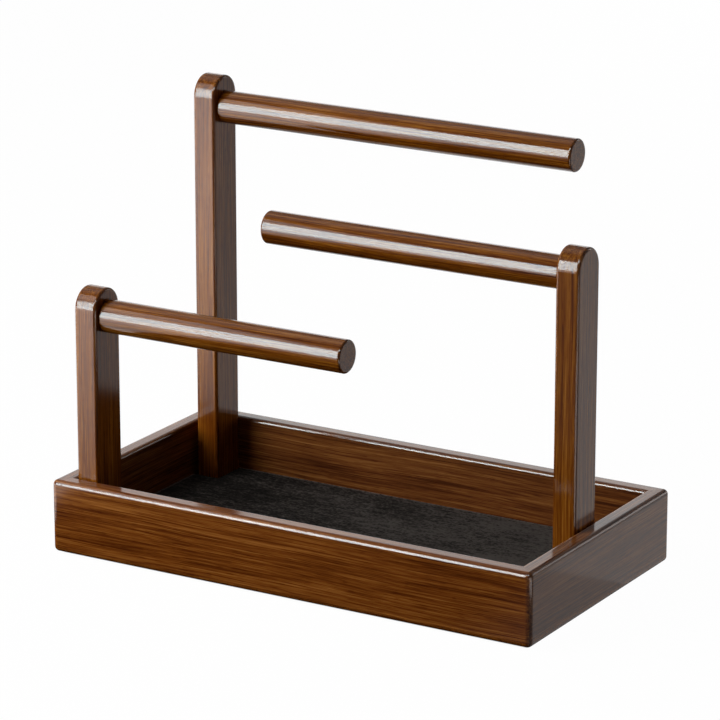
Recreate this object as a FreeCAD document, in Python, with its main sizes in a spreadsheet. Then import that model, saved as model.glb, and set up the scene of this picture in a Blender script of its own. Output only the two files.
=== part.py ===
"""Jewellery stand: a mitred walnut tray with a drop-in liner, three posts and three cantilevered bars.

Units are millimetres. X runs along the tray, Y from its front to its back and Z up. The origin lies on the
surface that the stand rests on, under the middle of the tray.
"""
import FreeCAD
import Part
import Sketcher
import math
import os
import re
from collections import namedtuple

# Driving dimensions
SIZES = {
    # Tray walls
    "tray_length": 260.0,
    "tray_depth": 139.0,
    "wall_height": 36.0,
    "wall_thick": 9.0,
    "corner_round": 2.7,
    "edge_round": 2.4,
    "base_round": 2.5,
    "rim_round": 1.8,
    # Loose tongues inside the mitres
    "spline_thick": 2.0,
    "spline_width": 6.0,
    "spline_setback": 5.2,
    "spline_margin_below": 3.5,
    "spline_margin_above": 9.0,
    "spline_play": 0.1,
    # Bottom panel and the grooves that hold it
    "panel_thick": 4.0,
    "panel_recess": 1.5,
    "panel_play": 0.4,
    "groove_depth": 4.0,
    # Pads under the panel
    "foot_diameter": 12.0,
    "foot_round": 0.4,
    "foot_clearance": 1.0,
    "foot_inset_x": 28.0,
    "foot_inset_y": 11.0,
    # Liner
    "board_thick": 3.5,
    "cover_thick": 0.75,
    "liner_gap": 0.5,
    # Posts
    "post_thick": 12.0,
    "post_width": 20.5,
    "post_round": 1.4,
    "tall_post_gap": 3.0,
    "tall_post_length": 207.5,
    "mid_post_length": 164.0,
    "short_post_length": 124.0,
    # Bars
    "bar_diameter": 16.0,
    "bar_round": 1.0,
    "tall_bar_length": 194.0,
    "mid_bar_length": 159.0,
    "short_bar_length": 132.5,
    "tall_bar_drop": 15.6,
    "mid_bar_drop": 13.5,
    "short_bar_drop": 13.5,
    # Double-ended studs between posts and bars
    "stud_diameter": 5.0,
    "stud_in_post": 8.0,
    "stud_in_bar": 16.0,
    "stud_bevel": 0.5,
    "stud_play": 0.1,
    # Countersunk screws up into the posts
    "screw_length": 24.0,
    "screw_shank": 3.2,
    "screw_head": 6.4,
    "screw_point": 4.0,
    "screw_spacing": 10.0,
    "screw_play": 0.1,
    "recess_span": 3.2,
    "recess_width": 0.9,
    "recess_depth": 1.3,
}

# Formula of a place on an axis or in a middle plane
ZERO = "0"

# Heights above the resting surface
PANEL_BASE = "foot_clearance + panel_recess"
PANEL_TOP = f"{PANEL_BASE} + panel_thick"

# Heights above the lower edge of a wall
GROOVE_TOP = "panel_recess + panel_thick"
SPLINE_BASE = f"{GROOVE_TOP} + spline_margin_below"
SPLINE_HEIGHT = f"wall_height - spline_margin_above - ({SPLINE_BASE})"

# Inner faces of the tray, measured from its middle
INNER_X = "tray_length / 2 - wall_thick"
INNER_Y = "tray_depth / 2 - wall_thick"

# A tier is a post and its bar: where the post's wall-side face lies along X, where its middle lies along Y,
# and which way the bar points along X
Tier = namedtuple("Tier", "name face_x middle_y way")
TALL = Tier("tall", f"-({INNER_X}) + tall_post_gap", f"{INNER_Y} - post_width / 2", 1)
MID = Tier("mid", INNER_X, ZERO, -1)
SHORT = Tier("short", f"-({INNER_X})", f"-({INNER_Y}) + post_width / 2", 1)
TIERS = (TALL, MID, SHORT)

# The tray's corners: a name and the side of the middle that each lies on along X and Y
CORNERS = (
    ("front_left", -1, -1),
    ("front_right", 1, -1),
    ("rear_left", -1, 1),
    ("rear_right", 1, 1),
)

# Turns in degrees, and the share of a length that an eighth of a turn leaves along each axis
FULL_TURN = 360.0
HALF_TURN = 180.0
QUARTER_TURN = 90.0
EIGHTH_TURN = 45.0
DIAGONAL = round(math.sqrt(0.5), 9)
TOLERANCE = 1e-4

# The points of a curve in a sketch, and the sketch's own origin
START, END, CENTRE = 1, 2, 3
ORIGIN = (-1, START)

doc = FreeCAD.newDocument("jewellery_stand")
sheet = doc.addObject("Spreadsheet::Sheet", "Sizes")
pieces = []


def fill_sheet():
    """Write every driving dimension into the sheet, under its own alias."""
    for row, (name, size) in enumerate(SIZES.items(), 1):
        sheet.set(f"A{row}", name)
        sheet.set(f"B{row}", str(size))
        sheet.setAlias(f"B{row}", name)
    doc.recompute()


def tied(formula):
    """Turn a formula written in size names into an expression on the sheet."""
    return re.sub(r"[a-z]\w*", lambda word: f"Sizes.{word.group(0)}", formula)


def worth(formula):
    """Return the present value of a formula written in size names."""
    return float(sheet.evalExpression(tied(formula)))


def new_body(label):
    """Start a sub-part and put it on the list of pieces."""
    body = doc.addObject("PartDesign::Body", label)
    body.Label = label
    pieces.append(body)
    return body


def place(piece, x, y, z, turn=0.0):
    """Turn a piece about Z and tie its position to the sheet."""
    piece.Placement = FreeCAD.Placement(FreeCAD.Vector(), FreeCAD.Rotation(FreeCAD.Vector(0, 0, 1), turn))
    for axis, formula in zip("xyz", (x, y, z)):
        piece.setExpression(f"Placement.Base.{axis}", tied(formula))


def new_sketch(body, name, plane, lift=None):
    """Attach a sketch to one of the body's own origin planes, raised off it where lift is given."""
    sketch = body.newObject("Sketcher::SketchObject", name)
    support = next(item for item in body.Origin.OriginFeatures if item.Role == plane)
    sketch.AttachmentSupport = [(support, "")]
    sketch.MapMode = "FlatFace"
    if lift:
        sketch.setExpression("AttachmentOffset.Base.z", tied(lift))
    return sketch


def fix_value(sketch, formula, kind, *where):
    """Add a constraint of a kind to the geometry that where names, and tie its value to a formula."""
    index = sketch.addConstraint(Sketcher.Constraint(kind, *where, worth(formula)))
    sketch.setExpression(f"Constraints[{index}]", tied(formula))


def side_arc(start, end, centre_y):
    """Return the anticlockwise arc between two points whose centre lies at a known y."""
    chord = end - start
    inward = FreeCAD.Vector(-chord.y, chord.x, 0).normalize()
    middle = (start + end) / 2
    centre = middle + inward * ((centre_y - middle.y) / inward.y)
    circle = Part.Circle(centre, FreeCAD.Vector(0, 0, 1), (start - centre).Length)
    angles = [math.atan2(point.y - centre.y, point.x - centre.x) for point in (start, end)]
    return Part.ArcOfCircle(circle, *angles)


def draw_outline(sketch, corners):
    """Draw a closed anticlockwise outline.

    A corner is two formulas, x and y. A third is the y of the centre of an arc that starts at that corner.
    """
    points = [FreeCAD.Vector(worth(x), worth(y), 0) for x, y, *_ in corners]
    ends = points[1:] + points[:1]
    first = sketch.GeometryCount
    for (_, _, *centre_y), start, end in zip(corners, points, ends):
        curve = side_arc(start, end, worth(*centre_y)) if centre_y else Part.LineSegment(start, end)
        sketch.addGeometry(curve)
    for number, (x, y, *centre_y) in enumerate(corners):
        side = first + number
        following = first + (number + 1) % len(corners)
        sketch.addConstraint(Sketcher.Constraint("Coincident", side, END, following, START))
        fix_value(sketch, x, "DistanceX", *ORIGIN, side, START)
        fix_value(sketch, y, "DistanceY", *ORIGIN, side, START)
        if centre_y:
            fix_value(sketch, *centre_y, "DistanceY", *ORIGIN, side, CENTRE)


def draw_circle(sketch, x, y, radius):
    """Draw a circle from the formulas of its centre and radius."""
    centre = FreeCAD.Vector(worth(x), worth(y), 0)
    curve = sketch.addGeometry(Part.Circle(centre, FreeCAD.Vector(0, 0, 1), worth(radius)))
    fix_value(sketch, x, "DistanceX", *ORIGIN, curve, CENTRE)
    fix_value(sketch, y, "DistanceY", *ORIGIN, curve, CENTRE)
    fix_value(sketch, radius, "Radius", curve)


def rectangle(left, bottom, right, top):
    """Return the corners of an upright rectangle."""
    return [(left, bottom), (right, bottom), (right, top), (left, top)]


def pad(body, name, sketch, length):
    """Raise a sketch along its normal."""
    feature = body.newObject("PartDesign::Pad", name)
    feature.Profile = sketch
    feature.setExpression("Length", tied(length))
    doc.recompute()


def pocket(body, name, sketch, depth, along_normal=False):
    """Cut a sketch into the body, against its normal or along it, and make sure that it cuts."""
    before = body.Shape.Volume
    feature = body.newObject("PartDesign::Pocket", name)
    feature.Profile = sketch
    feature.Reversed = along_normal
    feature.setExpression("Length", tied(depth))
    doc.recompute()
    if body.Shape.Volume > before - TOLERANCE:
        raise RuntimeError(f"{body.Label}: {name} cuts nothing")


def revolve(body, name, sketch, axis):
    """Turn a sketch once round one of its own axes."""
    feature = body.newObject("PartDesign::Revolution", name)
    feature.Profile = sketch
    feature.ReferenceAxis = (sketch, [axis])
    feature.Angle = FULL_TURN
    doc.recompute()


def ease(body, kind, name, size, chosen):
    """Fillet or chamfer the edges of the body that the chosen test picks."""
    base = body.Tip
    edges = [f"Edge{number}" for number, edge in enumerate(base.Shape.Edges, 1) if chosen(edge.BoundBox)]
    feature = body.newObject(f"PartDesign::{kind}", name)
    feature.Base = (base, edges)
    feature.setExpression("Radius" if kind == "Fillet" else "Size", tied(size))
    doc.recompute()


def flat_at(box, axis, level):
    """Tell whether an edge's box lies in the plane at a level along an axis."""
    limits = (getattr(box, f"{axis}Min"), getattr(box, f"{axis}Max"))
    return all(abs(limit - level) < TOLERANCE for limit in limits)


def spline_slot(side, length):
    """Return the outline of a wall's slot for a spline, at the end that side (1 or -1) names."""
    middle = f"({length}) / 2 - spline_setback"
    reach = "(spline_width / 2 + spline_play)"
    half = "(spline_thick / 2 + spline_play)"
    offsets = [
        (f"-({reach} - {half})", f"-({reach} + {half})"),
        (f"{reach} + {half}", f"{reach} - {half}"),
        (f"{reach} - {half}", f"{reach} + {half}"),
        (f"-({reach} + {half})", f"-({reach} - {half})"),
    ]
    return [
        (f"{side} * ({middle} + {DIAGONAL} * ({dx}))", f"spline_setback + {DIAGONAL} * ({dy})")
        for dx, dy in offsets
    ]


def make_wall(label, length, x, y, turn):
    """Make one wall: mitred ends, rounded edges, a groove for the panel and slots for the corner splines.

    In its own frame the wall's outer face is at Y 0 and its inner face at wall_thick.
    """
    body = new_body(label)
    half = f"({length}) / 2"
    bite = f"corner_round * {1 - DIAGONAL}"
    plan = new_sketch(body, f"{label}_plan", "XY_Plane")
    draw_outline(plan, [
        (f"-({half} - corner_round)", ZERO),
        (f"{half} - corner_round", ZERO, "corner_round"),
        (f"{half} - {bite}", bite),
        (f"{half} - wall_thick", "wall_thick"),
        (f"-({half} - wall_thick)", "wall_thick"),
        (f"-({half} - {bite})", bite, "corner_round"),
    ])
    pad(body, f"{label}_blank", plan, "wall_height")
    top = worth("wall_height")
    inside = worth("wall_thick")
    outer_limit = worth("corner_round") + TOLERANCE
    ease(body, "Fillet", f"{label}_top_edge", "edge_round",
         lambda box: flat_at(box, "Z", top) and box.YMax < outer_limit)
    ease(body, "Fillet", f"{label}_base_edge", "base_round",
         lambda box: flat_at(box, "Z", 0) and box.YMax < outer_limit)
    ease(body, "Fillet", f"{label}_rim_edge", "rim_round",
         lambda box: flat_at(box, "Z", top) and flat_at(box, "Y", inside))
    groove = new_sketch(body, f"{label}_groove_section", "YZ_Plane", half)
    draw_outline(groove, rectangle("wall_thick - groove_depth", "panel_recess",
                                   "wall_thick + groove_depth", GROOVE_TOP))
    pocket(body, f"{label}_groove", groove, length)
    slots = new_sketch(body, f"{label}_slot_plan", "XY_Plane", f"{SPLINE_BASE} - spline_play")
    for side in (1, -1):
        draw_outline(slots, spline_slot(side, length))
    pocket(body, f"{label}_slots", slots, f"{SPLINE_HEIGHT} + 2 * spline_play", along_normal=True)
    place(body, x, y, "foot_clearance", turn)


def make_walls():
    """Make the four walls of the tray."""
    make_wall("front_wall", "tray_length", ZERO, "-tray_depth / 2", 0)
    make_wall("right_wall", "tray_depth", "tray_length / 2", ZERO, QUARTER_TURN)
    make_wall("rear_wall", "tray_length", ZERO, "tray_depth / 2", HALF_TURN)
    make_wall("left_wall", "tray_depth", "-tray_length / 2", ZERO, -QUARTER_TURN)


def make_splines():
    """Make the loose tongue that bridges each mitre."""
    for corner, x_side, y_side in CORNERS:
        label = f"{corner}_spline"
        body = new_body(label)
        plan = new_sketch(body, f"{label}_plan", "XY_Plane")
        draw_outline(plan, rectangle("-spline_width / 2", "-spline_thick / 2",
                                     "spline_width / 2", "spline_thick / 2"))
        pad(body, f"{label}_tongue", plan, SPLINE_HEIGHT)
        x = f"{x_side} * (tray_length / 2 - spline_setback)"
        y = f"{y_side} * (tray_depth / 2 - spline_setback)"
        place(body, x, y, f"foot_clearance + {SPLINE_BASE}", -EIGHTH_TURN * x_side * y_side)


def screw_places(tier):
    """Return the formulas of the two screw centres under a post."""
    x = f"{tier.face_x} + {tier.way} * post_thick / 2"
    return [(x, f"{tier.middle_y} + {side} * screw_spacing / 2") for side in (-1, 1)]


def make_panel():
    """Make the bottom panel, with a countersunk hole for each screw."""
    body = new_body("bottom_panel")
    half_x = f"{INNER_X} + groove_depth - panel_play"
    half_y = f"{INNER_Y} + groove_depth - panel_play"
    plan = new_sketch(body, "panel_plan", "XY_Plane")
    draw_outline(plan, rectangle(f"-({half_x})", f"-({half_y})", half_x, half_y))
    pad(body, "panel_sheet", plan, "panel_thick")
    holes = new_sketch(body, "panel_hole_plan", "XY_Plane")
    for tier in TIERS:
        for x, y in screw_places(tier):
            draw_circle(holes, x, y, "screw_shank / 2 + screw_play")
    pocket(body, "panel_holes", holes, "panel_thick", along_normal=True)
    wide = worth("screw_head")
    ease(body, "Chamfer", "panel_countersinks", "(screw_head - screw_shank) / 2",
         lambda box: flat_at(box, "Z", 0) and box.XLength < wide and box.YLength < wide)
    place(body, ZERO, ZERO, PANEL_BASE)


def make_feet():
    """Make the round pads under the panel, one near each corner."""
    for corner, x_side, y_side in CORNERS:
        label = f"{corner}_foot"
        body = new_body(label)
        plan = new_sketch(body, f"{label}_plan", "XY_Plane")
        draw_circle(plan, ZERO, ZERO, "foot_diameter / 2")
        pad(body, f"{label}_pad", plan, PANEL_BASE)
        ease(body, "Fillet", f"{label}_edge", "foot_round", lambda box: flat_at(box, "Z", 0))
        x = f"{x_side} * ({INNER_X} - foot_inset_x)"
        y = f"{y_side} * ({INNER_Y} - foot_inset_y)"
        place(body, x, y, ZERO)


def liner_outline(inset):
    """Return the liner's plan, drawn in by a distance from the walls and notched round the posts."""
    right = f"{INNER_X} - ({inset})"
    back = f"{INNER_Y} - ({inset})"
    reach = f"post_width / 2 + {inset}"
    short_x = f"{SHORT.face_x} + post_thick + {inset}"
    short_y = f"{SHORT.middle_y} + {reach}"
    mid_x = f"{MID.face_x} - post_thick - ({inset})"
    tall_x = f"{TALL.face_x} + post_thick + {inset}"
    tall_y = f"{TALL.middle_y} - ({reach})"
    return [
        (short_x, f"-({back})"),
        (right, f"-({back})"),
        (right, f"{MID.middle_y} - ({reach})"),
        (mid_x, f"{MID.middle_y} - ({reach})"),
        (mid_x, f"{MID.middle_y} + {reach}"),
        (right, f"{MID.middle_y} + {reach}"),
        (right, back),
        (tall_x, back),
        (tall_x, tall_y),
        (f"-({right})", tall_y),
        (f"-({right})", short_y),
        (short_x, short_y),
    ]


def make_liner():
    """Make the stiff board and the cloth cover that wraps its top and edges."""
    board_inset = "liner_gap + cover_thick"
    board = new_body("liner_board")
    board_plan = new_sketch(board, "board_plan", "XY_Plane")
    draw_outline(board_plan, liner_outline(board_inset))
    pad(board, "board_sheet", board_plan, "board_thick")
    cover = new_body("liner_cover")
    cover_plan = new_sketch(cover, "cover_plan", "XY_Plane")
    draw_outline(cover_plan, liner_outline("liner_gap"))
    pad(cover, "cover_block", cover_plan, "board_thick + cover_thick")
    hollow_plan = new_sketch(cover, "cover_hollow_plan", "XY_Plane")
    draw_outline(hollow_plan, liner_outline(board_inset))
    pocket(cover, "cover_hollow", hollow_plan, "board_thick", along_normal=True)
    for body in (board, cover):
        place(body, ZERO, ZERO, PANEL_TOP)


def bar_turn(tier):
    """Return the turn about Z that points a tier's own X the way that its bar goes."""
    return HALF_TURN if tier.way < 0 else 0.0


def bar_root(tier):
    """Return the formulas of the point where a bar's axis meets its post."""
    height = f"{PANEL_TOP} + {tier.name}_post_length - {tier.name}_bar_drop"
    return f"{tier.face_x} + {tier.way} * post_thick", tier.middle_y, height


def make_post(tier):
    """Make a post: rectangular, with a half-round top, a bore for the bar's stud and pilot holes beneath.

    In its own frame the post's wall-side face is at X 0 and its bar-side face at post_thick.
    """
    label = f"{tier.name}_post"
    length = f"{tier.name}_post_length"
    shoulder = f"{length} - post_width / 2"
    body = new_body(label)
    face = new_sketch(body, f"{label}_face", "YZ_Plane")
    draw_outline(face, [
        ("-post_width / 2", ZERO),
        ("post_width / 2", ZERO),
        ("post_width / 2", shoulder, shoulder),
        ("-post_width / 2", shoulder),
    ])
    pad(body, f"{label}_blank", face, "post_thick")
    thick = worth("post_thick")
    ease(body, "Fillet", f"{label}_arrises", "post_round",
         lambda box: (flat_at(box, "X", 0) or flat_at(box, "X", thick)) and box.ZMax > TOLERANCE)
    bore = new_sketch(body, f"{label}_bore_face", "YZ_Plane", "post_thick")
    draw_circle(bore, ZERO, f"{length} - {tier.name}_bar_drop", "stud_diameter / 2 + stud_play")
    pocket(body, f"{label}_bore", bore, "stud_in_post + stud_play")
    pilots = new_sketch(body, f"{label}_pilot_plan", "XY_Plane")
    for side in (-1, 1):
        draw_circle(pilots, "post_thick / 2", f"{side} * screw_spacing / 2", "screw_shank / 2 + screw_play")
    pocket(body, f"{label}_pilots", pilots, "screw_length - panel_thick + screw_play", along_normal=True)
    place(body, tier.face_x, tier.middle_y, PANEL_TOP, bar_turn(tier))


def make_bar(tier):
    """Make a round bar with eased ends and a bore for its stud, from its post along its own X."""
    label = f"{tier.name}_bar"
    body = new_body(label)
    section = new_sketch(body, f"{label}_section", "YZ_Plane")
    draw_circle(section, ZERO, ZERO, "bar_diameter / 2")
    pad(body, f"{label}_rod", section, f"{label}_length")
    end = worth(f"{label}_length")
    ease(body, "Fillet", f"{label}_ends", "bar_round",
         lambda box: flat_at(box, "X", 0) or flat_at(box, "X", end))
    bore = new_sketch(body, f"{label}_bore_face", "YZ_Plane")
    draw_circle(bore, ZERO, ZERO, "stud_diameter / 2 + stud_play")
    pocket(body, f"{label}_bore", bore, "stud_in_bar + stud_play", along_normal=True)
    place(body, *bar_root(tier), bar_turn(tier))


def make_stud(tier):
    """Make the double-ended stud that joins a bar to its post."""
    label = f"{tier.name}_bar_stud"
    body = new_body(label)
    radius = "stud_diameter / 2"
    start = "-stud_in_post"
    end = "stud_in_bar"
    section = new_sketch(body, f"{label}_section", "XZ_Plane")
    draw_outline(section, [
        (start, ZERO),
        (end, ZERO),
        (end, f"{radius} - stud_bevel"),
        (f"{end} - stud_bevel", radius),
        (f"{start} + stud_bevel", radius),
        (start, f"{radius} - stud_bevel"),
    ])
    revolve(body, f"{label}_rod", section, "H_Axis")
    place(body, *bar_root(tier), bar_turn(tier))


def cross_outline(half_span, half_width):
    """Return the outline of a cross from half the span and half the width of its arms."""
    outline = []
    for turn in range(4):
        cosine, sine = ((1, 0), (0, 1), (-1, 0), (0, -1))[turn]
        for along, across in ((half_width, f"-({half_width})"), (half_span, f"-({half_width})"),
                              (half_span, half_width)):
            x = f"{cosine} * ({along}) - {sine} * ({across})"
            y = f"{sine} * ({along}) + {cosine} * ({across})"
            outline.append((x, y))
    return outline


def make_screw(label):
    """Make one countersunk screw, head down, with a cross recess in its head."""
    body = doc.addObject("PartDesign::Body", label)
    shank = "screw_shank / 2"
    section = new_sketch(body, f"{label}_section", "XZ_Plane")
    draw_outline(section, [
        (ZERO, ZERO),
        ("screw_head / 2", ZERO),
        (shank, f"screw_head / 2 - {shank}"),
        (shank, "screw_length - screw_point"),
        (ZERO, "screw_length"),
    ])
    revolve(body, f"{label}_blank", section, "V_Axis")
    recess = new_sketch(body, f"{label}_recess_plan", "XY_Plane")
    draw_outline(recess, cross_outline("recess_span / 2", "recess_width / 2"))
    pocket(body, f"{label}_recess", recess, "recess_depth", along_normal=True)
    return body


def make_screws(tier):
    """Make the group of two screws that holds a post to the panel."""
    label = f"{tier.name}_post_screws"
    screws = []
    for number, (x, y) in enumerate(screw_places(tier), 1):
        screw = make_screw(f"{label}_{number}")
        place(screw, x, y, PANEL_BASE)
        screws.append(screw)
    group = doc.addObject("Part::Compound", label)
    group.Label = label
    group.Links = screws
    pieces.append(group)


def check_and_write():
    """Stop on any failed object or bad shape, then write one file for each piece."""
    doc.recompute()
    failed = [item.Label for item in doc.Objects if {"Invalid", "Error"} & set(item.State)]
    bad = [piece.Label for piece in pieces if piece.Shape.isNull() or not piece.Shape.isValid()]
    if failed or bad:
        raise RuntimeError(f"failed objects {failed}, bad shapes {bad}")
    os.makedirs("parts", exist_ok=True)
    for piece in pieces:
        piece.Shape.exportStep(os.path.join("parts", f"{piece.Label}.step"))
        print(f"{piece.Label}: {len(piece.Shape.Solids)} solid, {piece.Shape.Volume:.1f} mm3")


fill_sheet()
make_walls()
make_splines()
make_panel()
make_feet()
make_liner()
for each_tier in TIERS:
    make_post(each_tier)
    make_bar(each_tier)
    make_stud(each_tier)
    make_screws(each_tier)
check_and_write()
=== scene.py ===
"""Looks of the walnut jewellery stand: its wood, varnish, liner and hardware, and the studio."""

import logging
import math
from collections.abc import Mapping
from dataclasses import dataclass, field
from enum import Enum

import bmesh
import bpy
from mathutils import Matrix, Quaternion, Vector, noise


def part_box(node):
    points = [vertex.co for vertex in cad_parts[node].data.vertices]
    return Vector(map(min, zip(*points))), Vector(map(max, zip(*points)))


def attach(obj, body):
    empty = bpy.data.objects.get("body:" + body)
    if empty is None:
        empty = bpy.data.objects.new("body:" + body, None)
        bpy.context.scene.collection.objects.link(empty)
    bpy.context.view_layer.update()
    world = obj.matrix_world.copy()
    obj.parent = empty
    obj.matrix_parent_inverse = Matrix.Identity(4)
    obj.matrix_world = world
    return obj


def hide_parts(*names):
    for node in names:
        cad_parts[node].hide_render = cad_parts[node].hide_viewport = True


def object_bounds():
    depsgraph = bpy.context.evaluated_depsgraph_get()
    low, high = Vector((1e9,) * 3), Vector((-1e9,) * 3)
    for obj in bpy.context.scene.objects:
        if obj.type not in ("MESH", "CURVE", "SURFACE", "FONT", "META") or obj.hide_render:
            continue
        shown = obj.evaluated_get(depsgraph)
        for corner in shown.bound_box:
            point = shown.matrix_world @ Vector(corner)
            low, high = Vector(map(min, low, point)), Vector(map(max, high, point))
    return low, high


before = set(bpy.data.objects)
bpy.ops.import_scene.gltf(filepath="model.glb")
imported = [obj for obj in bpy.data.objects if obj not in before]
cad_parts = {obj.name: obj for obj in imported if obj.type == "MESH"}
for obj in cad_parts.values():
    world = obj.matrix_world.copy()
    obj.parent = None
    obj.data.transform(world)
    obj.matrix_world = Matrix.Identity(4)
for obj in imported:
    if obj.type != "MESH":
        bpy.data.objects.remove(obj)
CAD_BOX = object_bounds()

LOG = logging.getLogger("jewellery_stand")

Triple = tuple[float, float, float]
Stops = tuple[tuple[float, Triple], ...]

NOISE_MIDDLE = 0.5
MM_PER_M = 1000.0
SLIVER = 1e-6
MIX_SHARE, MIX_FIRST, MIX_SECOND, MIX_RESULT = 0, 6, 7, 2
UP: Triple = (0.0, 0.0, 1.0)
DOWN: Triple = (0.0, 0.0, -1.0)
FORWARD: Triple = (0.0, -1.0, 0.0)
REARWARD: Triple = (0.0, 1.0, 0.0)


class Signal:
    """A shader socket that takes part in sums: each operator adds a Math node."""

    def __init__(self, graph: "Graph", socket: bpy.types.NodeSocket) -> None:
        """Keep the graph and the output socket."""
        self.graph = graph
        self.socket = socket

    def output(self, name: str) -> "Signal":
        """Return another output of the same node."""
        return Signal(self.graph, self.socket.node.outputs[name])

    def __add__(self, other: "Signal | float") -> "Signal":
        """Return the sum."""
        return self.graph.maths("ADD", self, other)

    __radd__ = __add__

    def __sub__(self, other: "Signal | float") -> "Signal":
        """Return the difference."""
        return self.graph.maths("SUBTRACT", self, other)

    def __mul__(self, other: "Signal | float") -> "Signal":
        """Return the product."""
        return self.graph.maths("MULTIPLY", self, other)

    def swing(self, depth: float) -> "Signal":
        """Return how far a noise is from its middle, times a depth."""
        return (self - NOISE_MIDDLE) * depth


class Graph:
    """The node tree of a material or of the world."""

    def __init__(self, tree: bpy.types.NodeTree) -> None:
        """Start with an empty tree."""
        tree.nodes.clear()
        self.tree = tree

    def add(
        self,
        kind: str,
        settings: Mapping[str, object] | None = None,
        sockets: Mapping[str | int, object] | None = None,
        output: str | int = 0,
    ) -> Signal | None:
        """Add a node.

        Args:
            kind: The node's type.
            settings: Properties that are set first; "stops" fills a colour ramp.
            sockets: Values or signals of the inputs, by name or place.
            output: The output that is wanted.

        Returns:
            The output as a signal, or nothing for a node without outputs.
        """
        node = self.tree.nodes.new(kind)
        for name, value in (settings or {}).items():
            if name == "stops":
                self.fill_ramp(node.color_ramp, value)
            else:
                setattr(node, name, value)
        for name, value in (sockets or {}).items():
            if isinstance(value, Signal):
                self.tree.links.new(value.socket, node.inputs[name])
            else:
                node.inputs[name].default_value = value
        return Signal(self, node.outputs[output]) if node.outputs else None

    def fill_ramp(self, ramp: bpy.types.ColorRamp, stops: Stops) -> None:
        """Set a ramp's stops.

        Args:
            ramp: The ramp, with its two first stops.
            stops: Position and linear colour of each stop, in rising order.
        """
        while len(ramp.elements) < len(stops):
            ramp.elements.new(1.0)
        for element, (position, colour) in zip(ramp.elements, stops):
            element.position = position
            element.color = (*colour, 1.0)

    def maths(self, operation: str, first: Signal | float, second: Signal | float) -> Signal:
        """Add a Math node with two inputs."""
        return self.add("ShaderNodeMath", {"operation": operation}, {0: first, 1: second})

    def vector(self, operation: str, first: Signal | Triple, second: Signal | Triple) -> Signal:
        """Add a Vector Math node with two inputs."""
        return self.add("ShaderNodeVectorMath", {"operation": operation}, {0: first, 1: second})

    def ramp(self, stops: Stops, tone: Signal) -> Signal:
        """Return the colour that a ramp gives a tone."""
        return self.add("ShaderNodeValToRGB", {"stops": stops}, {"Fac": tone})

    def mix(self, share: Signal, first: Signal, second: Triple) -> Signal:
        """Return a colour between two."""
        sockets = {MIX_SHARE: share, MIX_FIRST: first, MIX_SECOND: (*second, 1.0)}
        return self.add("ShaderNodeMix", {"data_type": "RGBA"}, sockets, MIX_RESULT)

    def blend(self, share: Signal | float, first: Signal, second: Signal) -> Signal:
        """Return a shader between two."""
        return self.add("ShaderNodeMixShader", {}, {0: share, 1: first, 2: second})

    def object_place(self, turn: Triple = (0.0, 0.0, 0.0), shift: Triple = (0.0, 0.0, 0.0)) -> Signal:
        """Return the place on the piece in metres, turned and then shifted."""
        place = self.add("ShaderNodeTexCoord", output="Object")
        return self.add("ShaderNodeMapping", {}, {"Vector": place, "Rotation": turn, "Location": shift})

    def speckle(self, place: Signal, grain: Triple, detail: float = 2.0, rough: float = 0.5) -> Signal:
        """Return soft noise about 0.5.

        Args:
            place: Where on the piece, in metres.
            grain: Size of a fleck along each axis, in millimetres.
            detail: How many finer layers are added.
            rough: How strong the finer layers are.

        Returns:
            The noise.
        """
        scaled = self.vector("MULTIPLY", place, tuple(MM_PER_M / size for size in grain))
        return self.add("ShaderNodeTexNoise", {}, {
            "Vector": scaled, "Scale": 1.0, "Detail": detail, "Roughness": rough,
        })

    def step(self, value: Signal, low: float, high: float) -> Signal:
        """Return 0 below low, 1 above high and a smooth rise between."""
        return self.add("ShaderNodeMapRange", {"interpolation_type": "SMOOTHSTEP"}, {
            "Value": value, "From Min": low, "From Max": high,
        })

    def bump(self, height: Signal, depth: float, strength: float) -> Signal:
        """Return the normal over a height field that is depth metres deep."""
        return self.add("ShaderNodeBump", {}, {"Height": height, "Distance": depth, "Strength": strength})


class Finish:
    """A surface finish that is painted with shader nodes."""

    name: str

    def surface(self, graph: Graph) -> Signal:
        """Return the finish's shader."""
        raise NotImplementedError

    def material(self) -> bpy.types.Material:
        """Make the material.

        Returns:
            The material.
        """
        made = bpy.data.materials.new(self.name)
        made.use_nodes = True
        graph = Graph(made.node_tree)
        graph.add("ShaderNodeOutputMaterial", {}, {"Surface": self.surface(graph)})
        return made


class Grain(Enum):
    """The way that the wood's fibres run, as the turn that lays it along X."""

    ALONG_X = (0.0, 0.0, 0.0)
    ALONG_Y = (0.0, 0.0, -math.pi / 2)
    ALONG_Z = (0.0, math.pi / 2, 0.0)


WALNUT: Stops = (
    (0.0, (0.045, 0.0090, 0.0010)),
    (0.3, (0.098, 0.0240, 0.0018)),
    (0.5, (0.155, 0.0425, 0.0030)),
    (0.72, (0.225, 0.0740, 0.0065)),
    (1.0, (0.330, 0.1300, 0.0180)),
)
# Copy of the walnut for the front wall, darker and more saturated: partly tone that differs between
# boards, partly painted light matched to how the lit front wall looks.
FRONT_WALNUT_TONE_AND_LIGHT: Stops = (
    (0.0, (0.043, 0.0082, 0.0008)),
    (0.3, (0.094, 0.0222, 0.0022)),
    (0.5, (0.148, 0.0398, 0.0047)),
    (0.72, (0.215, 0.0680, 0.0095)),
    (1.0, (0.312, 0.1180, 0.0220)),
)
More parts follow.
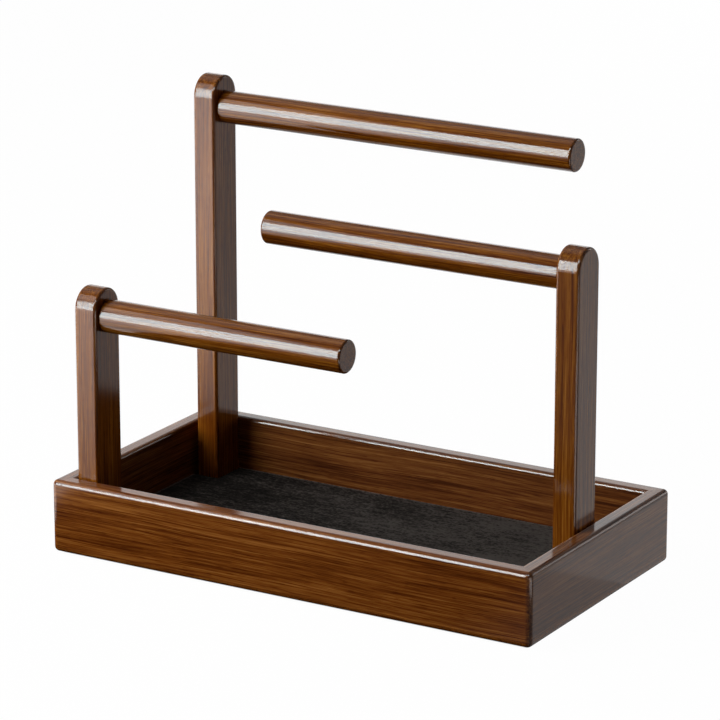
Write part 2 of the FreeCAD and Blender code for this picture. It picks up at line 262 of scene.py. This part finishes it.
# Greyer copy of the walnut for the side and rear walls: partly tone that differs between boards, partly
# painted shade and sheen matched to how those walls are lit.
SIDE_WALNUT_TONE_AND_SHADE: Stops = (
    (0.0, (0.042, 0.0105, 0.0033)),
    (0.3, (0.092, 0.0268, 0.0066)),
    (0.5, (0.146, 0.0468, 0.0113)),
    (0.72, (0.212, 0.0780, 0.0188)),
    (1.0, (0.310, 0.1300, 0.0355)),
)
STAINED_PLY: Stops = (
    (0.0, (0.045, 0.020, 0.009)),
    (0.5, (0.110, 0.052, 0.024)),
    (1.0, (0.190, 0.100, 0.050)),
)
BEECH: Stops = (
    (0.0, (0.400, 0.240, 0.120)),
    (0.5, (0.550, 0.370, 0.210)),
    (1.0, (0.680, 0.490, 0.310)),
)


@dataclass(frozen=True)
class Wood(Finish):
    """Straight-grained wood, varnished or raw."""

    name: str
    grain: Grain
    cut: int
    stops: Stops = WALNUT
    varnish: float = 1.0
    varnish_index: float = 1.16
    varnish_rough: float = 0.09
    tone: float = 0.52
    band: Triple = (190.0, 8.0, 8.0)
    streak: Triple = (110.0, 1.7, 1.7)
    fibre: Triple = (42.0, 0.55, 0.55)
    pore: Triple = (6.0, 0.35, 0.35)
    sway: float = 0.006
    sway_pace: Triple = (6.0, 20.0, 20.0)
    offcut: Triple = (0.83, 0.37, 0.59)
    band_depth: float = 0.6
    streak_depth: float = 1.25
    fibre_depth: float = 1.7
    pore_depth: float = 0.16
    pore_edge: tuple[float, float] = (0.62, 0.74)
    rough: float = 0.42
    pore_rough: float = 0.25
    fibre_rough: float = 0.2
    raw_gloss: float = 0.4
    relief: float = 0.00003
    relief_strength: float = 0.12

    def surface(self, graph: Graph) -> Signal:
        """Lay bands, streaks, fibres and open pores along the grain.

        Args:
            graph: The material's nodes.

        Returns:
            The shader.
        """
        shift = tuple(step * self.cut for step in self.offcut)
        place = self.swayed(graph, graph.object_place(self.grain.value, shift))
        band = graph.speckle(place, self.band)
        streak = graph.speckle(place, self.streak, detail=3.0, rough=0.62)
        fibre = graph.speckle(place, self.fibre, detail=3.0, rough=0.65)
        pore = graph.step(graph.speckle(place, self.pore, detail=0.0), *self.pore_edge)
        tone = self.tone + band.swing(self.band_depth) + streak.swing(self.streak_depth)
        tone = tone + fibre.swing(self.fibre_depth) - pore * self.pore_depth
        return graph.add("ShaderNodeBsdfPrincipled", {}, {
            "Base Color": graph.ramp(self.stops, tone),
            "Roughness": self.rough + pore * self.pore_rough + fibre.swing(self.fibre_rough),
            "Specular IOR Level": 0.0 if self.varnish else self.raw_gloss,
            "Coat Weight": self.varnish,
            "Coat IOR": self.varnish_index,
            "Coat Roughness": self.varnish_rough,
            "Normal": graph.bump(fibre - pore, self.relief, self.relief_strength),
        })

    def swayed(self, graph: Graph, place: Signal) -> Signal:
        """Return the place with the fibres waved gently sideways.

        Args:
            graph: The material's nodes.
            place: Where on the piece, with the grain along X.

        Returns:
            The waved place.
        """
        scaled = graph.vector("MULTIPLY", place, self.sway_pace)
        sockets = {"Vector": scaled, "Scale": 1.0, "Detail": 1.0}
        drift = graph.add("ShaderNodeTexNoise", {}, sockets, "Color")
        centred = graph.vector("SUBTRACT", drift, (NOISE_MIDDLE, NOISE_MIDDLE, NOISE_MIDDLE))
        return graph.vector("ADD", place, graph.vector("MULTIPLY", centred, (0.0, self.sway, self.sway)))


@dataclass(frozen=True)
class Suede(Finish):
    """Charcoal suede with a nap that was brushed along the tray."""

    half: tuple[float, float]
    name: str = "charcoal_suede"
    stops: Stops = (
        (0.0, (0.0020, 0.0016, 0.0013)),
        (0.3, (0.0085, 0.0070, 0.0060)),
        (0.5, (0.0210, 0.0180, 0.0158)),
        (0.7, (0.0380, 0.0330, 0.0295)),
        (1.0, (0.0700, 0.0620, 0.0560)),
    )
    tone: float = 0.65
    # Painted light: how much paler the nap is painted per metre towards +X, leaving the left darker as
    # painted shade.
    painted_light_slope: float = 3.0
    cloud: Triple = (38.0, 16.0, 16.0)
    brush: Triple = (8.0, 2.6, 2.6)
    tuft: Triple = (1.5, 1.0, 1.0)
    cloud_depth: float = 1.0
    brush_depth: float = 1.3
    tuft_depth: float = 1.9
    # Width, colour and patchiness of the paler band along the suede's outer edges.
    hem: float = 0.0024
    border_colour: Triple = (0.120, 0.092, 0.080)
    border_patches: tuple[float, float] = (0.3, 0.6)
    rough: float = 0.75
    tuft_rough: float = 0.2
    gloss: float = 0.01
    sheen: float = 0.01
    sheen_rough: float = 0.5
    sheen_tint: Triple = (0.9, 0.87, 0.85)
    brush_relief: float = 0.6
    relief: float = 0.0003
    relief_strength: float = 0.8

    def surface(self, graph: Graph) -> Signal:
        """Mottle the nap in clouds, brush marks and tufts, paint it paler towards +X as painted light,
        and make its outer edges paler.

        Args:
            graph: The material's nodes.

        Returns:
            The shader.
        """
        place = graph.object_place()
        cloud = graph.speckle(place, self.cloud, detail=3.0, rough=0.55)
        brush = graph.speckle(place, self.brush, detail=3.0, rough=0.6)
        tuft = graph.speckle(place, self.tuft, rough=0.6)
        # Painted light: the tone rises towards +X, so the liner is paler on the right and darker at the
        # left as painted shade.
        painted_light_slope = graph.add("ShaderNodeSeparateXYZ", {}, {0: place}) * self.painted_light_slope
        tone = self.tone + painted_light_slope + cloud.swing(self.cloud_depth)
        tone = tone + brush.swing(self.brush_depth) + tuft.swing(self.tuft_depth)
        nap = graph.ramp(self.stops, tone)
        # Paler band along the outer edges, broken into patches by the tufts.
        pale_border = self.border(graph, place) * graph.step(tuft, *self.border_patches)
        return graph.add("ShaderNodeBsdfPrincipled", {}, {
            "Base Color": graph.mix(pale_border, nap, self.border_colour),
            "Roughness": self.rough + tuft.swing(self.tuft_rough),
            "Specular IOR Level": self.gloss,
            "Sheen Weight": self.sheen,
            "Sheen Roughness": self.sheen_rough,
            "Sheen Tint": (*self.sheen_tint, 1.0),
            "Normal": graph.bump(tuft + brush * self.brush_relief, self.relief, self.relief_strength),
        })

    def border(self, graph: Graph, place: Signal) -> Signal:
        """Return 1 along the outer edges, where the suede is made paler, and 0 inside.

        Args:
            graph: The material's nodes.
            place: Where on the piece, in metres.

        Returns:
            The border.
        """
        axes = graph.add("ShaderNodeSeparateXYZ", {}, {0: place})
        beyond = [graph.maths("ABSOLUTE", axes.output(axis), 0.0) - (half - self.hem)
                  for axis, half in zip("XY", self.half)]
        return graph.step(graph.maths("MAXIMUM", *beyond), 0.0, self.hem / 3)


@dataclass(frozen=True)
class Fibreboard(Finish):
    """Raw brown fibreboard with pressed fibres."""

    name: str = "raw_fibreboard"
    stops: Stops = (
        (0.0, (0.20, 0.125, 0.070)),
        (0.5, (0.33, 0.225, 0.135)),
        (1.0, (0.46, 0.340, 0.220)),
    )
    tone: float = 0.5
    fleck: Triple = (2.4, 1.1, 0.5)
    cloud: Triple = (22.0, 18.0, 6.0)
    fleck_depth: float = 1.6
    cloud_depth: float = 0.6
    rough: float = 0.75
    fleck_rough: float = 0.3
    gloss: float = 0.3
    relief: float = 0.0001
    relief_strength: float = 0.4

    def surface(self, graph: Graph) -> Signal:
        """Fleck the board with short fibres.

        Args:
            graph: The material's nodes.

        Returns:
            The shader.
        """
        place = graph.object_place()
        fleck = graph.speckle(place, self.fleck, detail=4.0, rough=0.65)
        cloud = graph.speckle(place, self.cloud)
        tone = self.tone + fleck.swing(self.fleck_depth) + cloud.swing(self.cloud_depth)
        return graph.add("ShaderNodeBsdfPrincipled", {}, {
            "Base Color": graph.ramp(self.stops, tone),
            "Roughness": self.rough + fleck.swing(self.fleck_rough),
            "Specular IOR Level": self.gloss,
            "Normal": graph.bump(fleck, self.relief, self.relief_strength),
        })


@dataclass(frozen=True)
class Rubber(Finish):
    """Matt black rubber with a moulded grain and a little dust."""

    name: str = "matt_rubber"
    stops: Stops = (
        (0.0, (0.014, 0.014, 0.014)),
        (0.6, (0.026, 0.026, 0.026)),
        (1.0, (0.060, 0.058, 0.055)),
    )
    grit: Triple = (0.35, 0.35, 0.35)
    dust: Triple = (5.0, 5.0, 3.0)
    dust_share: float = 0.8
    grit_share: float = 0.2
    rough: float = 0.7
    dust_rough: float = 0.3
    gloss: float = 0.35
    relief: float = 0.00008
    relief_strength: float = 0.5

    def surface(self, graph: Graph) -> Signal:
        """Grain the rubber finely and dust it in patches.

        Args:
            graph: The material's nodes.

        Returns:
            The shader.
        """
        place = graph.object_place()
        grit = graph.speckle(place, self.grit, rough=0.6)
        dust = graph.speckle(place, self.dust, detail=3.0, rough=0.6)
        tone = dust * self.dust_share + grit * self.grit_share
        return graph.add("ShaderNodeBsdfPrincipled", {}, {
            "Base Color": graph.ramp(self.stops, tone),
            "Roughness": self.rough + dust.swing(self.dust_rough),
            "Specular IOR Level": self.gloss,
            "Normal": graph.bump(grit, self.relief, self.relief_strength),
        })


@dataclass(frozen=True)
class ZincSteel(Finish):
    """Bright zinc plating with faint clouding."""

    name: str = "zinc_plate"
    stops: Stops = (
        (0.0, (0.44, 0.45, 0.46)),
        (0.5, (0.60, 0.60, 0.59)),
        (1.0, (0.74, 0.72, 0.67)),
    )
    tone: float = 0.5
    cloud: Triple = (2.2, 2.2, 2.2)
    score: Triple = (1.4, 1.4, 0.12)
    cloud_depth: float = 1.5
    rough: float = 0.28
    cloud_rough: float = 0.25
    score_rough: float = 0.2
    relief: float = 0.00003
    relief_strength: float = 0.4

    def surface(self, graph: Graph) -> Signal:
        """Cloud the plating and score it with fine turning marks.

        Args:
            graph: The material's nodes.

        Returns:
            The shader.
        """
        place = graph.object_place()
        cloud = graph.speckle(place, self.cloud, detail=3.0, rough=0.6)
        score = graph.speckle(place, self.score)
        return graph.add("ShaderNodeBsdfPrincipled", {}, {
            "Base Color": graph.ramp(self.stops, self.tone + cloud.swing(self.cloud_depth)),
            "Metallic": 1.0,
            "Roughness": self.rough + cloud.swing(self.cloud_rough) + score.swing(self.score_rough),
            "Normal": graph.bump(score, self.relief, self.relief_strength),
        })


def dress(node: str, material: bpy.types.Material) -> None:
    """Give a CAD node its finish.

    Args:
        node: The node's name.
        material: The finish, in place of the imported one.
    """
    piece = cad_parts[node]
    piece.data.materials.clear()
    piece.data.materials.append(material)
    LOG.info("%s dressed in %s", node, material.name)


@dataclass
class Tray:
    """The mitred tray: four walls, their loose tongues, the bottom panel and the feet."""

    # The front wall gets the lit copy of the walnut and the other walls the greyer shaded copy: partly
    # board tone, partly painted light and shade.
    walls: dict[str, tuple[Grain, Stops, float]] = field(default_factory=lambda: {
        "front_wall": (Grain.ALONG_X, FRONT_WALNUT_TONE_AND_LIGHT, 1.185),
        "right_wall": (Grain.ALONG_Y, SIDE_WALNUT_TONE_AND_SHADE, 1.16),
        "rear_wall": (Grain.ALONG_X, SIDE_WALNUT_TONE_AND_SHADE, 1.19),
        "left_wall": (Grain.ALONG_Y, SIDE_WALNUT_TONE_AND_SHADE, 1.16),
    })
    corners: tuple[str, ...] = ("front_left", "front_right", "rear_left", "rear_right")
    varnish_rough: float = 0.15
    tongue_cut: int = 21
    panel_cut: int = 22
    panel_varnish: float = 0.35
    panel_index: float = 1.4
    panel_rough: float = 0.35

    def build(self) -> None:
        """Dress every piece of the tray."""
        for number, (wall, (grain, stops, index)) in enumerate(self.walls.items(), 1):
            wood = Wood(
                f"walnut_{wall}", grain, number, stops,
                varnish_index=index, varnish_rough=self.varnish_rough,
            )
            dress(wall, wood.material())
        tongue = Wood("raw_beech", Grain.ALONG_Z, self.tongue_cut, BEECH, varnish=0.0).material()
        rubber = Rubber().material()
        for corner in self.corners:
            dress(f"{corner}_spline", tongue)
            dress(f"{corner}_foot", rubber)
        panel = Wood(
            "stained_ply", Grain.ALONG_X, self.panel_cut, STAINED_PLY,
            self.panel_varnish, self.panel_index, self.panel_rough,
        )
        dress("bottom_panel", panel.material())


@dataclass
class Tiers:
    """The three posts with their bars, studs and screws."""

    post_tones: dict[str, float] = field(default_factory=lambda: {
        "tall": 0.53, "mid": 0.54, "short": 0.53,
    })
    post_rough: float = 0.14
    post_cut: int = 6
    bar_cut: int = 11

    def build(self) -> None:
        """Dress every piece of the tiers."""
        zinc = ZincSteel().material()
        for number, (tier, tone) in enumerate(self.post_tones.items()):
            post = Wood(
                f"walnut_{tier}_post", Grain.ALONG_Z, self.post_cut + number,
                varnish_rough=self.post_rough, tone=tone,
            )
            dress(f"{tier}_post", post.material())
            bar = Wood(f"walnut_{tier}_bar", Grain.ALONG_X, self.bar_cut + number)
            dress(f"{tier}_bar", bar.material())
            dress(f"{tier}_bar_stud", zinc)
            dress(f"{tier}_post_screws", zinc)


@dataclass
class Liner:
    """The suede-covered board that lies in the tray."""

    gap: float = 0.0005
    skin: float = 0.0007
    edge_round: float = 0.0009
    edge_steps: int = 4
    corner_round: float = 0.0012
    corner_steps: int = 3
    level_within: float = 1e-4
    steep: float = 0.5
    cell: float = 0.004
    swell: float = 0.00014
    swell_length: float = 0.028

    def build(self) -> None:
        """Dress the board and wrap it in suede."""
        dress("liner_board", Fibreboard().material())
        cover = self.cover()
        low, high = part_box("liner_cover")
        cover.data.materials.append(Suede((high.x, high.y)).material())
        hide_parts("liner_cover")
        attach(cover, "liner_pad")
        drop = high.z - low.z
        self.cut_area(drop)
        LOG.info("%s wrapped over the board", cover.name)

    def plan(self) -> list[tuple[float, float]]:
        """Draw the liner's plan, which is notched round the posts.

        Returns:
            Its corners, anticlockwise from above.
        """
        low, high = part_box("liner_cover")
        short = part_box("short_post")[1]
        mid_low, mid_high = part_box("mid_post")
        tall_low, tall_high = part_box("tall_post")
        short_x, short_y = short.x + self.gap, short.y + self.gap
        mid_x = mid_low.x - self.gap
        mid_front, mid_back = mid_low.y - self.gap, mid_high.y + self.gap
        tall_x, tall_y = tall_high.x + self.gap, tall_low.y - self.gap
        return [
            (short_x, low.y), (high.x, low.y), (high.x, mid_front), (mid_x, mid_front),
            (mid_x, mid_back), (high.x, mid_back), (high.x, high.y), (tall_x, high.y),
            (tall_x, tall_y), (low.x, tall_y), (low.x, short_y), (short_x, short_y),
        ]

    def cut_area(self, drop: float) -> float:
        """Return the flat area of the suede.

        Args:
            drop: How far it reaches down the board's edges.

        Returns:
            The area of the top and of the edges, in square metres.
        """
        corners = self.plan()
        pairs = list(zip(corners, corners[1:] + corners[:1]))
        top = sum(x0 * y1 - x1 * y0 for (x0, y0), (x1, y1) in pairs) / 2
        return top + drop * sum(math.dist(start, end) for start, end in pairs)

    def cover(self) -> bpy.types.Object:
        """Model the suede as a thin cap with rounded edges and a faintly uneven top.

        Returns:
            The cover's object.
        """
        low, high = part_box("liner_cover")
        shape = bmesh.new()
        base = shape.faces.new([shape.verts.new((x, y, low.z)) for x, y in self.plan()])
        raised = bmesh.ops.extrude_face_region(shape, geom=[base])["geom"]
        top_verts = [part for part in raised if isinstance(part, bmesh.types.BMVert)]
        bmesh.ops.translate(shape, verts=top_verts, vec=(0.0, 0.0, high.z - low.z))
        bottom = [
            face for face in shape.faces
            if face.normal.z < -self.steep or face.calc_center_median().z < low.z + SLIVER
        ]
        bmesh.ops.delete(shape, geom=bottom, context="FACES_ONLY")
        self.round_edges(shape, high.z)
        self.divide(shape, low, high)
        self.swell_top(shape, high.z)
        bmesh.ops.recalc_face_normals(shape, faces=shape.faces)
        mesh = bpy.data.meshes.new("liner_suede_cover")
        shape.to_mesh(mesh)
        shape.free()
        mesh.shade_smooth()
        piece = bpy.data.objects.new("liner_suede_cover", mesh)
        bpy.context.scene.collection.objects.link(piece)
        wall = piece.modifiers.new("skin", "SOLIDIFY")
        wall.thickness = self.skin
        wall.offset = -1.0
        wall.use_even_offset = True
        return piece

    def round_edges(self, shape: bmesh.types.BMesh, top: float) -> None:
        """Round the cap's upright corners and then its top edge.

        Args:
            shape: The cap.
            top: Height of its top.
        """
        upright = [
            edge for edge in shape.edges
            if abs(edge.verts[0].co.z - edge.verts[1].co.z) > self.level_within
        ]
        bmesh.ops.bevel(shape, geom=upright, offset=self.corner_round, offset_type="OFFSET",
                        segments=self.corner_steps, profile=0.5, affect="EDGES", material=-1)
        rim = [
            edge for edge in shape.edges
            if all(vert.co.z > top - SLIVER for vert in edge.verts)
            and any(abs(face.normal.z) < self.steep for face in edge.link_faces)
        ]
        bmesh.ops.bevel(shape, geom=rim, offset=self.edge_round, offset_type="OFFSET",
                        segments=self.edge_steps, profile=0.5, affect="EDGES", material=-1)

    def divide(self, shape: bmesh.types.BMesh, low: Vector, high: Vector) -> None:
        """Cut the cap into small cells.

        Args:
            shape: The cap.
            low: Its lowest corner.
            high: Its highest corner.
        """
        for axis in range(2):
            normal = Vector((0.0, 0.0, 0.0))
            normal[axis] = 1.0
            count = round((high[axis] - low[axis]) / self.cell)
            for index in range(1, count):
                point = low.copy()
                point[axis] += index * (high[axis] - low[axis]) / count
                parts = [*shape.verts, *shape.edges, *shape.faces]
                bmesh.ops.bisect_plane(shape, geom=parts, plane_co=point, plane_no=normal, dist=SLIVER)

    def swell_top(self, shape: bmesh.types.BMesh, top: float) -> None:
        """Let the suede lie a little uneven.

        Args:
            shape: The cap.
            top: Height of its top.
        """
        for vert in shape.verts:
            if vert.co.z > top - SLIVER:
                vert.co.z -= self.swell * (0.5 + 0.5 * noise.noise(vert.co / self.swell_length))


class Role(Enum):
    """Which rays a lamp is seen by."""

    FILL = "soft light on the surfaces"
    GLEAM = "reflection in the varnish"


@dataclass(frozen=True)
class Panel:
    """A rectangular studio lamp."""

    name: str
    role: Role
    centre: Triple
    facing: Triple
    size: tuple[float, float]
    strength: float
    tint: Triple = (1.0, 1.0, 1.0)
    turn: float = 0.0

    def build(self) -> None:
        """Hang the lamp."""
        light = bpy.data.lights.new(self.name, "AREA")
        light.shape = "RECTANGLE"
        light.size, light.size_y = self.size
        light.energy = math.pi * self.size[0] * self.size[1] * self.strength
        light.color = self.tint
        lamp = bpy.data.objects.new(self.name, light)
        bpy.context.scene.collection.objects.link(lamp)
        lamp.location = self.centre
        facing = Vector(self.facing)
        aimed = Quaternion(facing, self.turn) @ facing.to_track_quat("-Z", "Y")
        lamp.rotation_euler = aimed.to_euler()
        lamp.visible_camera = False
        lamp.visible_glossy = self.role is Role.GLEAM
        lamp.visible_diffuse = self.role is Role.FILL
        if self.role is Role.GLEAM:
            light.cycles.max_bounces = 0
        LOG.info("%s hung as %s", self.name, self.role.value)


def graded_cards(
    count: int = 6,
    first: float = 9.6,
    further: float = 3.0,
    near: Triple = (-1.064, -0.885, 0.004),
    step: Triple = (-0.041, -0.069, 0.0002),
    size: tuple[float, float] = (1.5, 1.9),
    turn: float = -0.1745,
) -> tuple[Panel, ...]:
    """Return overlapping cards on the floor that together grow brighter away from the stand.

    Args:
        count: How many cards there are.
        first: Strength of the card that reaches nearest.
        further: Strength of each of the others.
        near: Centre of the first card.
        step: How far on each further card lies.
        size: Length and width of a card.
        turn: How far each card is turned in its plane.

    Returns:
        The cards, nearest first.
    """
    return tuple(
        Panel(f"low_card_{number}", Role.GLEAM, tuple(Vector(near) + Vector(step) * number), UP, size,
              further if number else first, turn=turn)
        for number in range(count))


@dataclass(frozen=True)
class WhiteFloor(Finish):
    """A white floor that keeps a soft shadow, has shade painted under and around the tray, and throws
    little light back up.
    """

    covered: tuple[float, float]
    name: str = "white_floor"
    glow: float = 0.985
    white: float = 0.92
    bounce: float = 0.16
    ahead: float = 0.007
    # Reach and edges of the shade painted on the floor under, in front of and beside the tray.
    reflected_shade_reach: tuple[float, float] = (0.12, 0.18)
    reflected_shadow_edge: tuple[float, float] = (-0.003, 0.003)
    reflected_shade_edge: tuple[float, float] = (-0.06, 0.0)
    painted_shadow_edge: tuple[float, float] = (-0.006, -0.003)
    bounce_shade_edge: tuple[float, float] = (-0.02, 0.06)

    def surface(self, graph: Graph) -> Signal:
        """Show white to the eye and in reflections, with painted shadow under the tray and painted shade
        in front of and beside it in reflections, and grey to soft light, painted darker near the tray.

        Args:
            graph: The material's nodes.

        Returns:
            The shader.
        """
        black = self.matt(graph, 0.0)
        eye = graph.add("ShaderNodeLightPath", output="Is Camera Ray")
        aside, ahead = self.reflected_shade_reach
        # Painted shadow in reflections: the floor seen by glossy rays is dark under the tray and just in
        # front of it.
        mirrored = self.unshaded_floor(graph, *self.reflected_shadow_edge, self.ahead)
        # Painted shade in reflections: a soft dark zone in front of and to the left of the tray darkens
        # the floor that the varnish reflects.
        mirrored = mirrored * self.unshaded_floor(graph, *self.reflected_shade_edge, ahead, aside)
        # Painted shadow for the eye: the camera sees the floor dark just under the tray's edges.
        lit = mirrored + (self.unshaded_floor(graph, *self.painted_shadow_edge) - mirrored) * eye
        glow = graph.blend(lit, black, graph.add("ShaderNodeEmission"))
        shown = graph.blend(self.glow, self.matt(graph, self.white), glow)
        # Painted shade in the bounce: the floor throws less light up near the tray.
        unshaded_bounce = self.unshaded_floor(graph, *self.bounce_shade_edge)
        grey = graph.blend(unshaded_bounce, black, self.matt(graph, self.bounce))
        return graph.blend(seen_directly(graph), grey, shown)

    def matt(self, graph: Graph, level: float) -> Signal:
        """Return a matt grey shader."""
        return graph.add("ShaderNodeBsdfDiffuse", {}, {"Color": (level, level, level, 1.0)})

    def unshaded_floor(
        self, graph: Graph, low: float, high: float, ahead: float = 0.0, aside: float = 0.0,
    ) -> Signal:
        """Tell the open floor from the floor under and near the tray, where shade is painted.

        Args:
            graph: The material's nodes.
            low: Distance beyond the tray's sides up to which the floor is painted dark as shade, negative
                under it.
            high: Distance from which the floor is bright.
            ahead: How far in front of the tray the painted shade still reaches.
            aside: How far to the left of the tray it does.

        Returns:
            1 on the open floor, falling to 0 in the painted shade under the tray.
        """
        shift = (aside / 2, ahead / 2, 0.0)
        place = graph.add("ShaderNodeSeparateXYZ", {}, {0: graph.object_place(shift=shift)})
        half_x, half_y = self.covered
        beyond_x = graph.maths("ABSOLUTE", place.output("X"), 0.0) - (half_x + aside / 2)
        beyond_y = graph.maths("ABSOLUTE", place.output("Y"), 0.0) - (half_y + ahead / 2)
        return graph.step(graph.maths("MAXIMUM", beyond_x, beyond_y), low, high)


def seen_directly(graph: Graph) -> Signal:
    """Tell rays that look at a thing from those that light by it.

    Args:
        graph: The nodes of the material or of the world.

    Returns:
        1 for what the camera, a reflection or a transmission sees, and 0 for soft light.
    """
    camera = graph.add("ShaderNodeLightPath", output="Is Camera Ray")
    glossy, through = camera.output("Is Glossy Ray"), camera.output("Is Transmission Ray")
    return graph.maths("MAXIMUM", camera, graph.maths("MAXIMUM", glossy, through))


WINDOW_TINT: Triple = (0.73, 0.88, 0.93)


@dataclass
class Studio:
    """Camera, lamps, floor and surroundings."""

    eye: Triple = (0.9340, -1.5750, 0.6542)
    yaw: float = 0.53518
    pitch: float = -0.29451
    lens: float = 202.87
    sensor: float = 36.0
    sight: float = 50.0
    floor_reach: float = 6.0
    ambient: float = 0.04
    panels: tuple[Panel, ...] = (
        Panel("key", Role.FILL, (-0.80, -0.70, 0.58), (0.88, 0.57, -0.53), (1.15, 0.85), 6.3),
        Panel("overhead", Role.FILL, (-0.15, -0.05, 1.5), (0.1, 0.03, -1.0), (1.4, 1.4), 0.1),
        Panel("right_strip", Role.FILL, (0.6, 0.65, 0.024), (-1.0, 0.0, 0.0), (1.5, 0.048), 4.0),
        Panel("rear_fill", Role.FILL, (0.1, 1.3, 0.35), (-0.08, -1.0, -0.22), (1.2, 0.6), 2.2),
        Panel("long_window", Role.GLEAM, (-1.24, -2.0, 0.97), REARWARD, (0.92, 1.92), 98.0, WINDOW_TINT),
        Panel("front_window", Role.GLEAM, (0.3, -1.4, 1.7), (0.0, 0.66, -0.75), (1.7, 0.5), 70.0,
              WINDOW_TINT),
        Panel("top_window", Role.GLEAM, (-0.9, -0.6, 1.0), DOWN, (0.6, 0.64), 14.0),
        Panel("ceiling", Role.GLEAM, (-0.8, 0.35, 1.5), DOWN, (1.2, 0.9), 1.8),
        *graded_cards(),
        Panel("rear_sweep", Role.GLEAM, (-1.2, 2.0, 0.7), FORWARD, (1.2, 0.6), 1.68),
        Panel("near_card", Role.GLEAM, (0.19, -0.025, 0.0006), UP, (0.118, 0.11), 0.5),
        Panel("right_card", Role.GLEAM, (0.766, 0.915, 0.0006), UP, (1.27, 1.77), 1.05),
        Panel("rear_card", Role.GLEAM, (0.0, 0.95, 0.0006), UP, (0.26, 1.7), 1.2),
        Panel("back_card", Role.GLEAM, (0.93, 1.5, 0.43), FORWARD, (0.45, 0.55), 7.5),
        Panel("front_card", Role.GLEAM, (0.425, -0.2, 0.0006), UP, (0.45, 0.3), 15.0),
    )

    def build(self) -> None:
        """Set up the whole studio."""
        scene = bpy.context.scene
        scene.view_settings.view_transform = "Standard"
        self.floor()
        self.surroundings(scene)
        for panel in self.panels:
            panel.build()
        self.camera(scene)

    def floor(self) -> None:
        """Lay the floor."""
        shape = bmesh.new()
        bmesh.ops.create_grid(shape, x_segments=1, y_segments=1, size=self.floor_reach)
        mesh = bpy.data.meshes.new("studio_floor")
        shape.to_mesh(mesh)
        shape.free()
        mesh.materials.append(WhiteFloor(tuple(CAD_BOX[1][:2])).material())
        floor = bpy.data.objects.new("studio_floor", mesh)
        bpy.context.scene.collection.objects.link(floor)
        LOG.info("floor laid")

    def surroundings(self, scene: bpy.types.Scene) -> None:
        """Make the surroundings white to the eye and in reflections, and dim as a source of light.

        Args:
            scene: The scene that gets the world.
        """
        world = bpy.data.worlds.new("studio_surroundings")
        world.use_nodes = True
        graph = Graph(world.node_tree)
        dim = graph.add("ShaderNodeBackground", {}, {"Strength": self.ambient})
        bright = {"Color": (1.0, 1.0, 1.0, 1.0), "Strength": 1.0}
        white = graph.add("ShaderNodeBackground", {}, bright)
        mixed = graph.blend(seen_directly(graph), dim, white)
        graph.add("ShaderNodeOutputWorld", {}, {"Surface": mixed})
        scene.world = world

    def camera(self, scene: bpy.types.Scene) -> None:
        """Stand the camera where the photo was taken.

        Args:
            scene: The scene that looks through it.
        """
        lens = bpy.data.cameras.new("camera")
        lens.lens = self.lens
        lens.sensor_width = self.sensor
        lens.clip_end = self.sight
        camera = bpy.data.objects.new("camera", lens)
        scene.collection.objects.link(camera)
        camera.location = self.eye
        camera.rotation_euler = (math.pi / 2 + self.pitch, 0.0, self.yaw)
        scene.camera = camera


def main() -> None:
    """Build the stand's looks and the studio in order."""
    logging.basicConfig(level=logging.INFO, format="%(message)s")
    Tray().build()
    Tiers().build()
    Liner().build()
    Studio().build()


if __name__ == "__main__":
    main()
